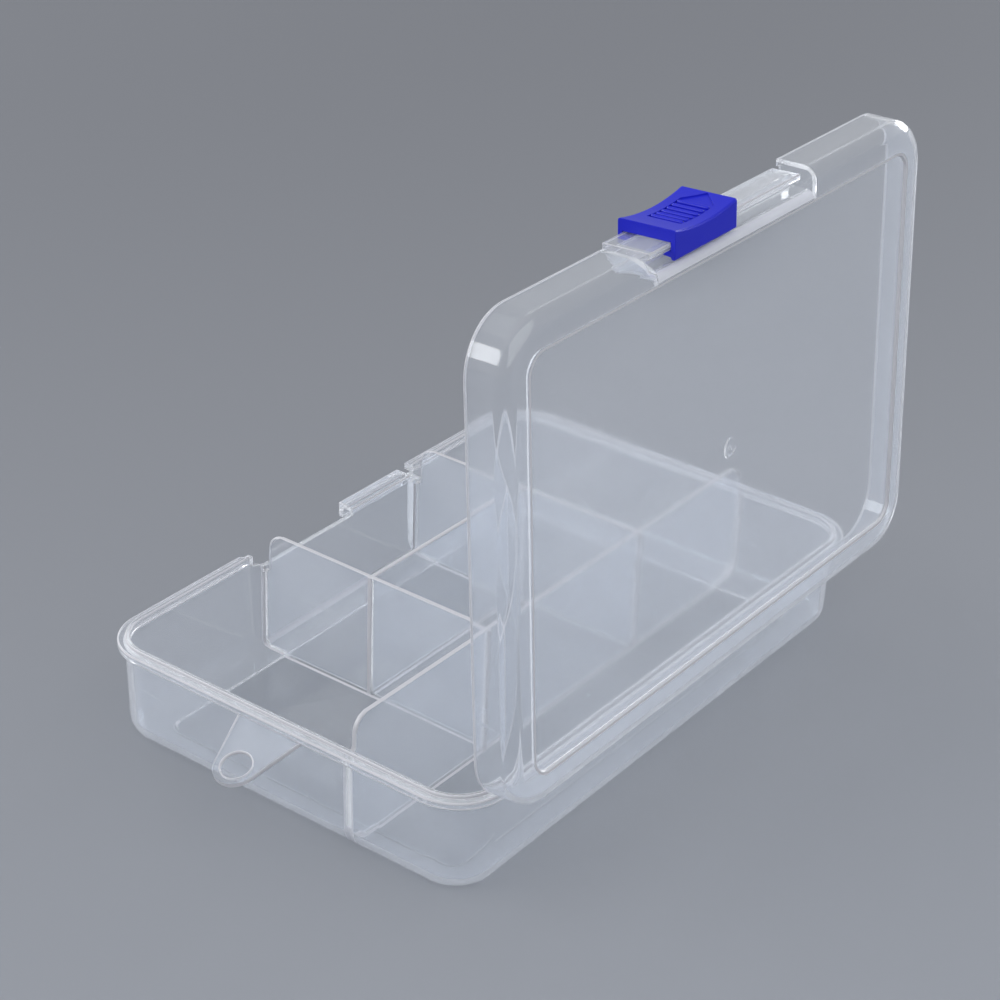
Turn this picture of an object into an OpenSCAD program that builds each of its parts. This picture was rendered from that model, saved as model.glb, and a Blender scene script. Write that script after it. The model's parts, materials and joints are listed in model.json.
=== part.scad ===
// Hinged compartment box for beads and small parts, shown with its lid standing open.
// Frame: X along the box, the latch faces -Y, the hinge is at +Y, Z up, resting on z = 0.

/* [Tray] */
// Inside length of the tray at its rim
tray_len = 136; // [110:1:170]
// Inside width of the tray at its rim
tray_wid = 90.2; // [76:0.2:120]
// Height of the tray to the top of its lip
tray_h = 23.7; // [19:0.1:38]
// Thickness of the side walls
wall_t = 1.2; // [1:0.1:1.5]
// Thickness of the floor
floor_t = 1.2; // [1:0.1:1.8]
// How far a wall leans inwards from its rim to the floor
draft = 0.62; // [0.3:0.02:1]
// Inside radius of the upright corners
corner_r = 8.6; // [7:0.1:12]
// Outside radius between walls and floor
base_r = 4.8; // [3.5:0.1:5.5]
// How far the foot stands out below the floor
foot_step = 0.4; // [0.2:0.05:0.6]
// Distance from the inside of the walls in to the edge of the foot
foot_inset = 8.2; // [7:0.1:12]

/* [Rim] */
// Thickness of the upright lip
lip_t = 1.05; // [0.8:0.05:1.2]
// Height of the lip above the ledge
lip_h = 0.64; // [0.5:0.02:1]
// Width of the ledge that the lid rests on
ledge_w = 1.6; // [1.5:0.05:2.2]
// Thickness of the flange that carries the ledge
flange_t = 1.6; // [1.3:0.1:2.2]
// Extra width of the flange along the hinge
hinge_land = 0.65; // [0.4:0.05:1]

/* [Compartments] */
// Centre of the near cross divider from the near wall
near_cell = 43.5; // [42:0.1:46]
// Centre of the far cross divider from the far wall
far_cell = 41.1; // [40:0.1:45]
// Centre of the long divider from the hinge wall
back_row = 27.8; // [20:0.1:34]
// Centre of the short divider from the long one
mid_row = 30.8; // [22:0.1:36]
// Thickness of a divider at its top
div_t = 1; // [0.8:0.05:1.2]
// Extra thickness of a divider at the floor
div_taper = 0.3; // [0.1:0.05:0.5]
// How far the dividers stand above the lip
div_rise = 6.2; // [4.5:0.1:6.4]
// Radius of their free top corners
div_r = 3.2; // [2:0.1:4]
// How far a free corner stands back from the wall
div_inset = 1.4; // [1:0.1:2]

/* [Lid] */
// Thickness of the lid
lid_t = 1.1; // [1:0.05:1.3]
// Height of the lid from its rim to its outer face
lid_h = 8.92; // [8.8:0.02:12]
// Radius between the lid's sides and its outer face
lid_edge_r = 3; // [2.4:0.1:3.4]
// Outside radius of the lid's corners
lid_corner_r = 11; // [10:0.1:12]
// How far a lid side leans inwards over its height
lid_draft = 0.25; // [0.1:0.05:0.5]
// Distance from the lid's edge in to the panel border
border_inset = 7.3; // [7.1:0.1:9]
// Corner radius of the panel border
border_r = 3.8; // [2.5:0.1:6]
// How far the panel lies below its border
panel_step = 0.5; // [0.2:0.05:0.6]
// Angle at which the lid stands in the photographed pose
open_angle = 86.3; // [70:0.1:110]
// Radius of the round injection mark on the panel
gate_r = 2.3; // [1.5:0.1:3]

/* [Hinge] */
// Distance from the flange to the hinge line
film_w = 1.15; // [1:0.05:1.5]
// Height of the hinge line above the ledge
film_rise = 0.64; // [0.5:0.02:0.8]
// Radius of the round film bead on the hinge line
film_r = 0.4; // [0.3:0.02:0.45]

/* [Latch] */
// Length of the recess that the slider runs in
notch_len = 52; // [48:0.5:58]
// Shift of the recess towards the far end
notch_shift = 1; // [0:0.1:2]
// How far the tray wall is set back in the recess
notch_depth = 2.4; // [2.1:0.05:2.6]
// How far the tray wall is cut down below the ledge in the recess
notch_drop = 1.8; // [1.7:0.05:2.4]
// Thickness of the rail plate
rail_t = 1.4; // [1.2:0.05:1.7]
// Full width of the rail plate
rail_w = 10.2; // [9.4:0.1:10.8]
// How far the rail plate reaches below the hinge line
rail_low = 3.85; // [3.5:0.05:4.2]
// Gap between the tray's recessed wall and the back of the rail plate
rail_gap = 1.45; // [1.35:0.05:1.6]
// Length of the tray's half of the rail
catch_len = 20.3; // [18:0.1:21]
// Length of the blue slider
slider_len = 20.3; // [18:0.1:21]
// Thickness of the slider's sides
slider_side = 0.85; // [0.7:0.05:0.95]
// Thickness of the slider's roof at its ends
slider_roof = 2.3; // [2.2:0.05:2.7]
// Depth of the thumb hollow along the slider
thumb_dip = 1.15; // [0.8:0.05:1.2]
// Number of thumb ribs
ribs = 6; // [4:1:8]
// Distance between thumb ribs
rib_pitch = 1.7; // [1.3:0.05:1.8]

/* [Hang tab] */
// Radius of the hang hole
hang_r = 3.1; // [2.5:0.1:4]
// Width of the ring around the hang hole
hang_ring = 1.6; // [1.2:0.1:2.2]
// Distance of the hang hole from the edge of the flange
hang_reach = 9.7; // [8:0.1:13]
// Width of the tab where it leaves the flange
hang_root_w = 15.9; // [13:0.1:20]
// Angle by which the tab droops
hang_droop = 19.8; // [0:0.1:30]
// Thickness of the hang tab
hang_t = 1; // [0.8:0.1:1.4]

/* [Hidden] */
$fn = 96;
arc_steps = 8;
eps = 0.05;
over = 1;
seat_gap = 0.3;
slide_gap = 0.25;
film_gap = 0.1;
stop_r = 0.5;
stop_w = 4;

// Tray
in_x = tray_len / 2;
in_y = tray_wid / 2;
ledge_z = tray_h - lip_h;
flange_z = ledge_z - flange_t;
flange_y = in_y + lip_t + ledge_w;
land_y = flange_y + hinge_land;
core_x = in_x - corner_r;
core_y = in_y - corner_r;
inner_r = base_r - wall_t;
band_z = foot_step + floor_t;
foot_r = 2.5;

// Dividers
near_x = in_x - near_cell;
far_x = far_cell - in_x;
long_y = in_y - back_row;
short_y = long_y - mid_row;
div_top = tray_h + div_rise;

// Hinge line
hinge_y = land_y + film_w;
hinge_z = ledge_z + film_rise;

// Lid, drawn closed and turned open about the hinge line
lid_rim_z = ledge_z + seat_gap;
lid_top_z = lid_rim_z + lid_h;
lid_over = 0.25;
lid_x = in_x + lip_t + ledge_w;
lid_y0 = -flange_y - lid_over;
lid_y1 = land_y;
lid_half_y = (lid_y1 - lid_y0) / 2;
lid_mid_y = (lid_y1 + lid_y0) / 2;
lid_inner_r = lid_edge_r - lid_t;

// Latch recess
notch_x0 = -notch_len / 2 - notch_shift;
notch_x1 = notch_len / 2 - notch_shift;
notch_y = -in_y + notch_depth;
notch_out_y = notch_y - wall_t;
notch_z = ledge_z - notch_drop;
jog_x = notch_x1 - 0.9;
rim_gap_x = 1.5;
recess_reach = notch_depth + wall_t + lip_t + ledge_w + seat_gap + 1;
lid_notch_x0 = notch_x0 - 0.5;
lid_jog_x = notch_x1 + 1;
lid_recess_y = notch_out_y + 0.55;
lid_recess_r = 2.2;
jog_fan = tan(22.5);

// Rail, with its tray half at the far end
rail_in_y = notch_out_y - rail_gap;
rail_out_y = rail_in_y - rail_t;
rail_z0 = hinge_z - rail_low;
rail_z1 = rail_z0 + rail_w;
rail_x0 = notch_x0 + 1.5;
rail_x1 = notch_x1 + 0.5;
web_z0 = rail_z0 + 2.4;
web_z1 = rail_z1 - 2.4;
rail_part_z = lid_rim_z + 0.24;
catch_x0 = notch_x0 + 2.5;
catch_x1 = catch_x0 + catch_len;
catch_top = rail_part_z - seat_gap;
rail_join_x = catch_x1 + 0.5;

// Slider
slider_x1 = notch_x1 - 6;
slider_x0 = slider_x1 - slider_len;
slider_z0 = rail_z0 - slide_gap - slider_side;
slider_z1 = rail_z1 + slide_gap + slider_side;
slider_edge_r = 0.5;
roof_in_y = rail_out_y - slide_gap;
roof_out_y = roof_in_y - slider_roof;
hook_t = 0.9;
hook_reach = 1.75;
hook_in_y = rail_in_y + slide_gap;
skirt = 0.6;
dip_r = (slider_len * slider_len / 4 + thumb_dip * thumb_dip) / (2 * thumb_dip);
field_w = 7.4;
field_deep = 0.3;
field_x = (slider_x0 + slider_x1) / 2 - 0.8;
arrow_len = 3.6;
rib_w = 0.8;

// Hang tab
hang_y = -0.9;
hang_under = 1.1;

function arc(cx, cy, r, a0, a1, n = arc_steps) =
    [for (i = [0 : n]) let (a = a0 + (a1 - a0) * i / n) [cx + r * cos(a), cy + r * sin(a)]];

// Distance out from the corner axes of a tray wall's inner face, at a height
function wall_u(z) = corner_r - draft * (tray_h - z) / tray_h;

// Lower part of a wall's section, from the floor's edge round its radius and up to a height
function wall_section(out, floor_z, r, top) =
    let (u = wall_u(floor_z + r) + out)
    concat([[0, floor_z]], arc(u - r, floor_z + r, r, -90, 0), [[wall_u(top) + out, top]]);

// Sweeps a section round a rounded rectangle: x of the section is the distance out from the axes
module swept(ax, ay) {
    for (q = [0 : 3])
        let (hx = q % 2 == 0 ? ax : ay, hy = q % 2 == 0 ? ay : ax)
        rotate([0, 0, 90 * q]) {
            translate([hx, 0, 0]) rotate([90, 0, 0])
                linear_extrude(height = 2 * hy, center = true) children();
            translate([hx, hy, 0]) rotate_extrude(angle = 90) children();
        }
}

module block(x0, x1, y0, y1, z0, z1) {
    translate([x0, y0, z0]) cube([x1 - x0, y1 - y0, z1 - z0]);
}

// Extrudes a shape drawn in (y, z) along X
module along_x(x0, x1) {
    translate([x0, 0, 0]) rotate([90, 0, 90]) linear_extrude(height = x1 - x0) children();
}

// Extrudes a shape drawn in (x, z) along Y
module along_y(y0, y1) {
    translate([0, y1, 0]) rotate([90, 0, 0]) linear_extrude(height = y1 - y0) children();
}

module round_rect(hx, hy, r) {
    polygon(concat(arc(hx - r, hy - r, r, 0, 90), arc(r - hx, hy - r, r, 90, 180),
                   arc(r - hx, r - hy, r, 180, 270), arc(hx - r, r - hy, r, 270, 360)));
}

// ---------- tray ----------

module tray_block() {
    flange_u = corner_r + lip_t + ledge_w;
    section = concat(wall_section(wall_t, foot_step, base_r, flange_z),
                     [[flange_u, flange_z], [flange_u, ledge_z], [corner_r + lip_t, ledge_z],
                      [corner_r + lip_t, tray_h], [0, tray_h]]);
    swept(core_x, core_y) polygon(section);
    block(-core_x, core_x, -core_y, core_y, foot_step, tray_h);
}

module tray_cavity() {
    top = tray_h + 1;
    section = concat(wall_section(0, band_z, inner_r, top), [[0, top]]);
    swept(core_x, core_y) polygon(section);
    block(-core_x, core_x, -core_y, core_y, band_z, top);
}

// Plan of a latch recess: square at its far end, slanted at its near end, grown inwards
module recess_plan(x0, x1, y, grow) {
    near = x1 + jog_fan * grow;
    face = y + grow;
    polygon([[x0 - grow, 0], [near, 0], [near, face], [near + recess_reach, face - recess_reach],
             [x0 - grow, face - recess_reach]]);
}

// Space outside the set-back wall of the tray, grown by a wall's thickness for its inner face
module recess_space(grow) {
    y = notch_out_y + grow;
    r = base_r - grow;
    z = foot_step + floor_t * grow / wall_t;
    far_y = notch_out_y - recess_reach;
    intersection() {
        along_x(-in_x, in_x)
            polygon(concat([[far_y, z - eps], [y + r, z - eps]], arc(y + r, z + r, r, 270, 180),
                           [[y, tray_h + 2], [far_y, tray_h + 2]]));
        translate([0, 0, -1]) linear_extrude(height = tray_h + 4)
            recess_plan(notch_x0, jog_x, notch_out_y, grow);
    }
}

module foot_plate(z0, z1, grow) {
    translate([0, 0, z0]) linear_extrude(height = z1 - z0)
        round_rect(in_x - foot_inset + grow, in_y - foot_inset + grow, foot_r + grow);
}

module tray_shell() color([0.86, 0.9, 0.95, 0.5]) {
    difference() {
        union() {
            difference() {
                tray_block();
                difference() {
                    tray_cavity();
                    recess_space(wall_t);
                }
            }
            foot_plate(0, foot_step + eps, wall_t / 2);
            block(-core_x, core_x, flange_y - eps, land_y, flange_z, ledge_z);
        }
        foot_plate(floor_t, band_z + eps, 0);
        recess_space(0);
        block(notch_x0 - rim_gap_x, notch_x1 + rim_gap_x, -land_y, notch_y + eps, notch_z, tray_h + over);
    }
}

// ---------- dividers ----------

// One free end of a divider in (distance, height), from the wall's foot up to its rounded top corner
function free_end(wall, foot, top_z, rise) =
    concat(foot, [[wall, rise], [wall - div_inset, rise]],
           arc(wall - div_inset - div_r, top_z - div_r, div_r, 0, 90));

function mirrored(p) = [for (i = [len(p) - 1 : -1 : 0]) [-p[i][0], p[i][1]]];

// Foot of a divider against a drafted wall, at the distance of the wall's rim
function drafted_foot(wall) =
    let (s = wall_section(0, band_z, inner_r, tray_h))
    concat([[wall - foot_inset, floor_t], [wall - foot_inset, band_z]],
           [for (i = [1 : len(s) - 1]) [s[i][0] + wall - corner_r, s[i][1]]]);

// Foot of a divider against the upright wall of the latch recess
function recess_foot(wall) =
    concat([[in_y - foot_inset, floor_t], [in_y - foot_inset, band_z]],
           arc(wall - inner_r, band_z + inner_r, inner_r, -90, 0));

// Half the thickness of a divider at a height
function div_half(z) = div_t / 2 + div_taper / 2 * (div_top - z) / div_top;

// Section of a divider across its length, thicker at the floor
module taper_section() {
    polygon([[-div_half(0), 0], [div_half(0), 0], [div_half(div_top), div_top],
             [-div_half(div_top), div_top]]);
}

module long_divider() color([0.86, 0.9, 0.95, 0.5]) {
    end = free_end(in_x, drafted_foot(in_x), div_top, tray_h);
    intersection() {
        translate([0, long_y, 0]) along_y(-2, 2) polygon(concat(end, mirrored(end)));
        translate([0, long_y, 0]) along_x(-in_x - 1, in_x + 1) taper_section();
    }
}

// Cross divider from the latch recess to the long divider
module cross_divider(x) {
    end = free_end(-notch_y, recess_foot(-notch_y), div_top, notch_z);
    intersection() {
        translate([x, 0, 0]) along_x(-2, 2)
            polygon(concat([[long_y - div_half(floor_t), floor_t]], [for (p = end) [-p[0], p[1]]],
                           [[long_y - div_half(div_top), div_top]]));
        translate([x, 0, 0]) along_y(-in_y, in_y) taper_section();
    }
}

module near_divider() color([0.86, 0.9, 0.95, 0.5]) cross_divider(near_x);

module far_divider() color([0.86, 0.9, 0.95, 0.5]) cross_divider(far_x);

module short_divider() color([0.86, 0.9, 0.95, 0.5]) {
    intersection() {
        translate([0, short_y, 0]) along_y(-2, 2)
            polygon([[far_x + div_half(floor_t), floor_t], [near_x - div_half(floor_t), floor_t],
                     [near_x - div_half(div_top), div_top], [far_x + div_half(div_top), div_top]]);
        translate([0, short_y, 0]) along_x(-in_x, in_x) taper_section();
    }
}

// ---------- hang tab, catch and film ----------

// Outline of the hang tab from its root, straight to where it meets the ring around the hole
module hang_outline() {
    r = hang_r + hang_ring;
    half = hang_root_w / 2;
    meet = atan2(half, -hang_reach) - acos(r / norm([half, hang_reach]));
    polygon(concat([[-hang_under, -half], [0, -half]],
                   arc(hang_reach, 0, r, -meet, meet, 3 * arc_steps),
                   [[0, half], [-hang_under, half]]));
}

module hang_tab() color([0.86, 0.9, 0.95, 0.5]) {
    difference() {
        translate([lid_x, hang_y, flange_z - eps]) rotate([0, hang_droop, 0])
            difference() {
                translate([0, 0, -hang_t]) linear_extrude(height = hang_t) hang_outline();
                translate([hang_reach, 0, -2 * hang_t]) cylinder(r = hang_r, h = 4 * hang_t);
            }
        block(0, lid_x + 1, -in_y, in_y, flange_z, tray_h);
    }
}

module latch_catch() color([0.86, 0.9, 0.95, 0.5]) {
    riser_z = lid_rim_z - seat_gap;
    along_x(catch_x0, catch_x1)
        polygon([[notch_y, notch_z], [notch_out_y, notch_z], [notch_out_y, web_z0],
                 [rail_in_y, web_z0], [rail_in_y, rail_z0], [rail_out_y, rail_z0],
                 [rail_out_y, catch_top], [notch_out_y, catch_top], [notch_out_y, riser_z],
                 [notch_y, riser_z]]);
}

// Flexible strip from the flange up to a round bead on the hinge line
module hinge_film() color([0.86, 0.9, 0.95, 0.5]) {
    root_z = ledge_z - film_r;
    along_x(-core_x, core_x)
        polygon([[land_y, root_z], [hinge_y - film_r * cos(45), hinge_z - film_r * sin(45)],
                 [hinge_y, hinge_z], [hinge_y, hinge_z - film_r], [land_y, root_z - 2 * film_r]]);
    translate([-core_x, hinge_y, hinge_z]) rotate([0, 90, 0]) cylinder(r = film_r, h = 2 * core_x);
}

// ---------- lid ----------

module open_lid() {
    translate([0, hinge_y, hinge_z]) rotate([-open_angle, 0, 0]) translate([0, -hinge_y, -hinge_z])
        children();
}

// Section of the lid's side: from the rim up, round the edge and in to the corner axis
function lid_section(inset, r, top) =
    let (u = lid_corner_r - inset, bend = top - r, lean = lid_draft * (bend - lid_rim_z) / lid_h)
    concat([[0, lid_rim_z - (inset > 0 ? 1 : 0)], [u, lid_rim_z - (inset > 0 ? 1 : 0)]],
           arc(u - lean - r, bend, r, 0, 90), [[0, top]]);

module lid_solid(inset, r, top) {
    ax = lid_x - lid_corner_r;
    ay = lid_half_y - lid_corner_r;
    translate([0, lid_mid_y, 0]) {
        swept(ax, ay) polygon(lid_section(inset, r, top));
        block(-ax, ax, -ay, ay, lid_rim_z - (inset > 0 ? 1 : 0), top);
    }
}

// Space outside the lid's set-back wall, grown by a wall's thickness for its inner face
module lid_recess_space(grow) {
    y = lid_recess_y + lid_recess_r;
    r = lid_recess_r - grow;
    z = lid_top_z - lid_recess_r;
    far_y = lid_recess_y - recess_reach;
    top = lid_top_z + 1 - grow;
    intersection() {
        along_x(-lid_x, lid_x)
            polygon(concat([[far_y, lid_rim_z - 2], [y - r, lid_rim_z - 2]], arc(y, z, r, 180, 90),
                           [[y, top], [far_y, top]]));
        translate([0, 0, lid_rim_z - 3]) linear_extrude(height = lid_h + 6)
            recess_plan(lid_notch_x0, lid_jog_x, lid_recess_y, grow);
    }
}

// Room for the tray's lip where the walls of the recess cross it
module lip_groove() {
    low = lid_rim_z - over;
    swept(core_x, core_y) translate([corner_r - seat_gap, low])
        square([lip_t + 2 * seat_gap, tray_h + seat_gap - low]);
}

module border(inset) {
    translate([0, lid_mid_y]) round_rect(lid_x - border_inset - inset, lid_half_y - border_inset - inset,
                                         border_r - inset);
}

module lid_shell() color([0.86, 0.9, 0.95, 0.5]) open_lid() {
    difference() {
        union() {
            difference() {
                lid_solid(0, lid_edge_r, lid_top_z);
                difference() {
                    lid_solid(lid_t, lid_inner_r, lid_top_z - lid_t);
                    lid_recess_space(lid_t);
                    translate([0, 0, lid_top_z - lid_t - panel_step])
                        linear_extrude(height = panel_step + 1) border(-lid_t / 2);
                }
            }
            // Low wall behind the lid's part of the rail, over the cut-down tray wall
            block(rail_join_x, rail_x1, lid_recess_y, lid_recess_y + lid_t, notch_z + seat_gap,
                  lid_rim_z + 1);
            // Strip that joins the film
            block(-core_x, core_x, lid_y1 - eps, hinge_y - film_r - film_gap, lid_rim_z + film_gap,
                  hinge_z + film_gap);
        }
        lid_recess_space(0);
        lip_groove();
        difference() {
            translate([0, 0, lid_top_z - panel_step]) linear_extrude(height = panel_step + 1) border(0);
            translate([0, lid_mid_y, lid_top_z - panel_step - 1])
                cylinder(r = gate_r, h = 1 + panel_step / 2);
        }
    }
}

module lid_rail() color([0.86, 0.9, 0.95, 0.5]) open_lid() {
    // Near half: the whole width of the rail, on a web
    block(rail_join_x, rail_x1, rail_out_y, rail_in_y, rail_z0, rail_z1);
    block(rail_join_x, rail_x1, rail_in_y - eps, lid_recess_y, web_z0, web_z1);
    // Far half: the lid's share of the rail
    block(rail_x0, rail_join_x + eps, rail_out_y, rail_in_y, rail_part_z, rail_z1);
    block(rail_x0, rail_join_x + eps, rail_in_y - eps, lid_recess_y, rail_part_z, web_z1);
    // Low bump that stops the slider at its unlocked end
    translate([slider_x1 + 1.9, rail_out_y, (rail_z0 + rail_z1) / 2])
        cylinder(r = stop_r, h = stop_w, center = true);
}

// ---------- slider ----------

// Channel that wraps the rail: a thick roof, two legs and two hooks
module slider_section() {
    leg_y = hook_in_y + hook_t;
    in_z0 = slider_z0 + slider_side;
    in_z1 = slider_z1 - slider_side;
    polygon(concat([[leg_y, slider_z0], [leg_y, in_z0 + hook_reach], [hook_in_y, in_z0 + hook_reach],
                    [hook_in_y, in_z0], [roof_in_y, in_z0], [roof_in_y, in_z1], [hook_in_y, in_z1],
                    [hook_in_y, in_z1 - hook_reach], [leg_y, in_z1 - hook_reach], [leg_y, in_z1],
                    [leg_y + skirt, in_z1], [leg_y + skirt, slider_z1]],
                   arc(roof_out_y + slider_edge_r, slider_z1 - slider_edge_r, slider_edge_r, 90, 180, 4),
                   arc(roof_out_y + slider_edge_r, slider_z0 + slider_edge_r, slider_edge_r, 180, 270, 4)));
}

// Cylinder across the slider that hollows its roof, sunk by a depth below the thumb surface
module thumb_hollow(width, sunk) {
    translate([(slider_x0 + slider_x1) / 2, roof_out_y + thumb_dip - dip_r, (slider_z0 + slider_z1) / 2])
        cylinder(r = dip_r + sunk, h = width, center = true);
}

// Outline of the sunk thumb field: a rectangle for the ribs, ending in an arrowhead
module field_outline() {
    near = field_x + (ribs * rib_pitch + rib_w) / 2;
    far = field_x - (ribs * rib_pitch + rib_w) / 2;
    half = field_w / 2;
    polygon([[near, half], [near, -half], [far, -half], [far - arrow_len, 0], [far, half]]);
}

module latch_slider() color([0.16, 0.18, 0.78]) open_lid() {
    mid_z = (slider_z0 + slider_z1) / 2;
    difference() {
        along_x(slider_x0, slider_x1) slider_section();
        thumb_hollow(slider_z1 - slider_z0 + over, 0);
        difference() {
            intersection() {
                thumb_hollow(field_w + over, field_deep);
                translate([0, roof_in_y, mid_z]) rotate([90, 0, 0])
                    linear_extrude(height = slider_roof + over) field_outline();
            }
            for (i = [0 : ribs - 1])
                translate([field_x + (i - (ribs - 1) / 2) * rib_pitch, roof_out_y + over, mid_z])
                    cube([rib_w, 2 * slider_roof, field_w + over], center = true);
        }
    }
}

tray_shell();
long_divider();
near_divider();
far_divider();
short_divider();
hang_tab();
latch_catch();
hinge_film();
lid_shell();
lid_rail();
latch_slider();
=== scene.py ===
# %% [markdown]
# # A clear bead box with a hinged lid
#
# The object is an injection moulded box of natural polypropylene. Tray, lid and the thin film between
# them come out of one mould, and a blue slider is pushed onto a rail to lock them. The lesson starts from
# the measured frame, builds each moulding again with the small radii that a mould leaves, and spends most
# of its care on the milky plastic, because that is what the eye notices first.

import json
from functools import partial
from math import acos, asin, atan2, cos, hypot, pi, radians, sin, sqrt, tan

import bmesh
import bpy
import numpy as np
from mathutils import Matrix, Vector


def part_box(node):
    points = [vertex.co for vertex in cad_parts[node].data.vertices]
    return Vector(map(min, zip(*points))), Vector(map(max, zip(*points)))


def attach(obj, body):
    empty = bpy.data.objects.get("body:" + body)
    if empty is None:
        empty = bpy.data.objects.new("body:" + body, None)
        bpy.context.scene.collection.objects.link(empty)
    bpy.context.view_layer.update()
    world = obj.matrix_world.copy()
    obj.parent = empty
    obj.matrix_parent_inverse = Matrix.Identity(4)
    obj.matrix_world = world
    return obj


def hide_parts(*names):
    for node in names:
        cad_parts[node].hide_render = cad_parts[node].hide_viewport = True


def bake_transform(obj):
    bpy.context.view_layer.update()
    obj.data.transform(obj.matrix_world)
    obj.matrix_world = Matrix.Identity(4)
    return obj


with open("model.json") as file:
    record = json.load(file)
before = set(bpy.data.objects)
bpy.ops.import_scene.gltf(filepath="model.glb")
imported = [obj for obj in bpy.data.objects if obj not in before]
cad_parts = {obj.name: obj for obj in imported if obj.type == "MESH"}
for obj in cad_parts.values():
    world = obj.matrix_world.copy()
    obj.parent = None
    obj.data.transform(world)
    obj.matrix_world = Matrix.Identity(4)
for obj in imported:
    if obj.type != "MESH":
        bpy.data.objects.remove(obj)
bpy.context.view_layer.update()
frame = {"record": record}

# %% [markdown]
# ## Sizes come from the frame
#
# All shapes here are drawn in millimetres and scaled down once at the end, because small radii are easier
# to read as 0.25 than as 0.00025. The outside sizes are read from the solids of the frame, so the visible
# mouldings can't drift away from what the joints move. Wall thicknesses and radii are the mould maker's.

# %% Read the main sizes
MM = 0.001

tray_low, tray_high = (Vector(corner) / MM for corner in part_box("tray_shell"))
joints = {joint["name"]: joint for joint in frame["record"]["behaviour"]["joints"]}
lid_hinge = joints["lid_hinge"]
hinge_at = Vector(lid_hinge["pos_m"]) / MM
open_angle = -lid_hinge["range_deg"][0]

FLANGE_X = tray_high.x
FLANGE_Y = -tray_low.y
LAND_Y = tray_high.y
LIP_TOP = tray_high.z
print("flange", FLANGE_X, FLANGE_Y, "hinge line", tuple(hinge_at), "lid open by", open_angle)

# %% Wall sections of the tray, and how far a cut goes over a face or a join stays under it
LIP = 1.05
LIP_RISE = 0.64
LEDGE = 1.6
FLANGE = 1.6
WALL = 1.2
FLOOR = 1.2
FOOT = 0.4
FOOT_INSET = 8.2
FOOT_R = 2.5
DRAFT = 0.62
BASE_R = 4.8
CORNER_R = 8.6
EDGE_R = 0.3
FLARE = 0.3
OVER = 0.05
HAIR = 0.01

IN_X = FLANGE_X - LIP - LEDGE
IN_Y = FLANGE_Y - LIP - LEDGE
LEDGE_Z = LIP_TOP - LIP_RISE
FLANGE_Z = LEDGE_Z - FLANGE
CORE_X = IN_X - CORNER_R
CORE_Y = IN_Y - CORNER_R
BAND_Z = FOOT + FLOOR
print("inside of the tray", 2 * IN_X, "x", 2 * IN_Y)

# %% [markdown]
# ## Camera
#
# The box was photographed from above its hinge side, from about half a metre, with a long lens. The camera
# is built from its place, the two angles of its view and a small roll, so that the same numbers can be
# checked with a protractor. Clear walls stand behind clear walls here, so a ray needs many bounces before
# it is out of them.

# %% Place the camera
CAMERA_AT = Vector((0.3668, 0.2685, 0.2933))
VIEW_TURN = 0.6308
VIEW_DOWN = 0.5043
CAMERA_ROLL = 0.037
LENS = 90.02
SENSOR = 36
BOUNCES = {"max_bounces": 24, "transmission_bounces": 24, "volume_bounces": 6, "transparent_max_bounces": 32}


def new_object(name, data):
    made = bpy.data.objects.new(name, data)
    bpy.context.collection.objects.link(made)
    return made


looking = Vector((-cos(VIEW_DOWN) * cos(VIEW_TURN), -cos(VIEW_DOWN) * sin(VIEW_TURN), -sin(VIEW_DOWN)))
level = looking.cross(Vector((0, 0, 1))).normalized()
upright = level.cross(looking)
right = cos(CAMERA_ROLL) * level + sin(CAMERA_ROLL) * upright
upward = -sin(CAMERA_ROLL) * level + cos(CAMERA_ROLL) * upright

lens = bpy.data.cameras.new("camera")
lens.lens = LENS
lens.sensor_width = SENSOR
camera = new_object("camera", lens)
pose = Matrix((right, upward, -looking)).transposed().to_4x4()
pose.translation = CAMERA_AT
camera.matrix_world = pose
scene = bpy.context.scene
scene.camera = camera
scene.view_settings.view_transform = "Standard"
for setting, bounces in BOUNCES.items():
    setattr(scene.cycles, setting, bounces)
print("camera at", tuple(CAMERA_AT), "looking", tuple(round(v, 4) for v in looking))

# %% [markdown]
# ## Helpers for node trees
#
# Paper and plastics are shader trees, film and thumb ribs geometry trees. With these helpers each of them
# reads in the order in which its values flow.

# %% Add and feed nodes
def plug(tree, socket, value):
    """Feeds a socket from another one, or from a node's first output, or sets it to a plain value."""
    if isinstance(value, bpy.types.Node):
        value = value.outputs[0]
    if isinstance(value, bpy.types.NodeSocket):
        tree.links.new(value, socket)
    else:
        socket.default_value = value


def add_node(tree, kind, sockets=None, **settings):
    """Adds a node, makes its settings and feeds its inputs, which are given by name or number."""
    node = tree.nodes.new(kind)
    for name, value in settings.items():
        setattr(node, name, value)
    for name, value in (sockets or {}).items():
        plug(tree, node.inputs[name], value)
    return node


def math_node(tree, operation, *values):
    return add_node(tree, "ShaderNodeMath", dict(enumerate(values)), operation=operation)


def fade_colours(tree, factor, low, high):
    """Fades from one colour to another."""
    mix = add_node(tree, "ShaderNodeMix", {"Factor": factor, "A": low, "B": high}, data_type="RGBA")
    return mix.outputs["Result"]


def new_tree(name, kind, inputs, outputs):
    """A node group, its inputs to read from and its outputs to feed, each given as name and kind."""
    tree = bpy.data.node_groups.new(name, kind)
    for way, sockets in (("INPUT", inputs), ("OUTPUT", outputs)):
        for label, socket in sockets.items():
            tree.interface.new_socket(name=label, in_out=way, socket_type="NodeSocket" + socket)
    return tree, add_node(tree, "NodeGroupInput").outputs, add_node(tree, "NodeGroupOutput").inputs


def object_place(tree):
    return add_node(tree, "ShaderNodeTexCoord").outputs["Object"]


print("tree kinds: ShaderNodeTree, GeometryNodeTree")

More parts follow.
